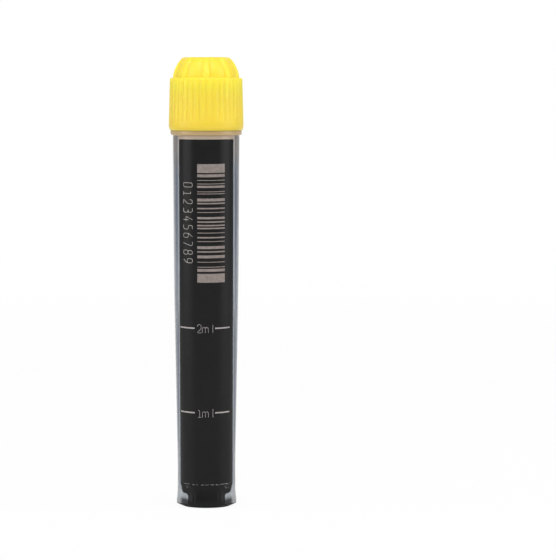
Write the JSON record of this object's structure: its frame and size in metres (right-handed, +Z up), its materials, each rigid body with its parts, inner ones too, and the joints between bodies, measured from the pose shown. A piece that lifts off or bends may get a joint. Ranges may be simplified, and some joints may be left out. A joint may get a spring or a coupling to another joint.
{
  "type": "cryovial",
  "caption": "Self-standing storage vial: clear tube with a dark two-panel jacket and side windows, outer screw thread, knurled cap with a fluted crown, and a seal ring.",
  "frame": {"origin": "centre of the flat underside of the base", "axes": "+Z up along the vial towards the cap; -Y out of the front panel, which carries the graduations; +X and -X out of the two clear windows"},
  "size_m": [0.0136, 0.0136, 0.0815],
  "materials": {
    "natural_polypropylene": "frosted, translucent natural moulding",
    "dark_polypropylene": "satin dark moulding that takes pale laser marks",
    "yellow_cap": "satin moulded yellow",
    "seal_rubber": "soft pale elastomer"
  },
  "bodies": {
    "vial": {"tube": "natural_polypropylene", "jacket": "dark_polypropylene"},
    "seal": {"cap_seal": "seal_rubber"},
    "cap": {"cap": "yellow_cap"}
  },
  "joints": [
    {"name": "cap_rise", "type": "slide", "parent": "vial", "child": "seal", "axis": [0, 0, 1], "range_m": [0, 0.00438]},
    {"name": "cap_turn", "type": "hinge", "parent": "seal", "child": "cap", "pos_m": [0, 0, 0.06825], "axis": [0, 0, 1], "range_deg": [0, 630]}
  ],
  "couplings": [
    {"joint": "cap_turn", "follows": "cap_rise", "rad_per_m": 2513.3}
  ]
}
